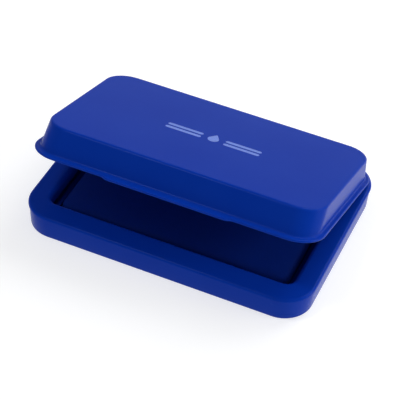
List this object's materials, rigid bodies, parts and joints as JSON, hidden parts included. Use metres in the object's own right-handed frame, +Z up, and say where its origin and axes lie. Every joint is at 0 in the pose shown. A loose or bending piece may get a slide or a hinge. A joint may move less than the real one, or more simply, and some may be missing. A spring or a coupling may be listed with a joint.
{
  "type": "ink pad",
  "caption": "Hinged stamp ink pad: shallow tray and bezel round a cloth-covered inking pad, with a domed lid on rear pins.",
  "frame": {"origin": "middle of the tray's flat underside", "axes": "+X along the front edge, +Y from the front to the hinge, +Z up"},
  "size_m": [0.106, 0.0756, 0.0385],
  "materials": {
    "case_plastic": "satin",
    "pan_plastic": "matte",
    "sponge": "matte",
    "felt": "matte",
    "inked_cloth": "damp",
    "pin_steel": "drawn wire",
    "label": "matte",
    "liner_plastic": "matte",
    "seal_rubber": "matte"
  },
  "bodies": {
    "base": {"base_tray": "case_plastic", "bezel_frame": "case_plastic", "pad_pan": "pan_plastic", "ink_sponge": "sponge", "felt_layer": "felt", "pad_cloth": "inked_cloth", "cloth_retainer": "pan_plastic", "hinge_pin_left": "pin_steel", "hinge_pin_right": "pin_steel", "base_label": "label"},
    "lid": {"lid_shell": "case_plastic", "lid_liner": "liner_plastic", "lid_seal": "seal_rubber"}
  },
  "joints": [
    {"name": "lid_hinge", "type": "hinge", "parent": "base", "child": "lid", "pos_m": [0, 0.0357, 0.01002], "axis": [-1, 0, 0], "range_deg": [-18, 160]}
  ]
}
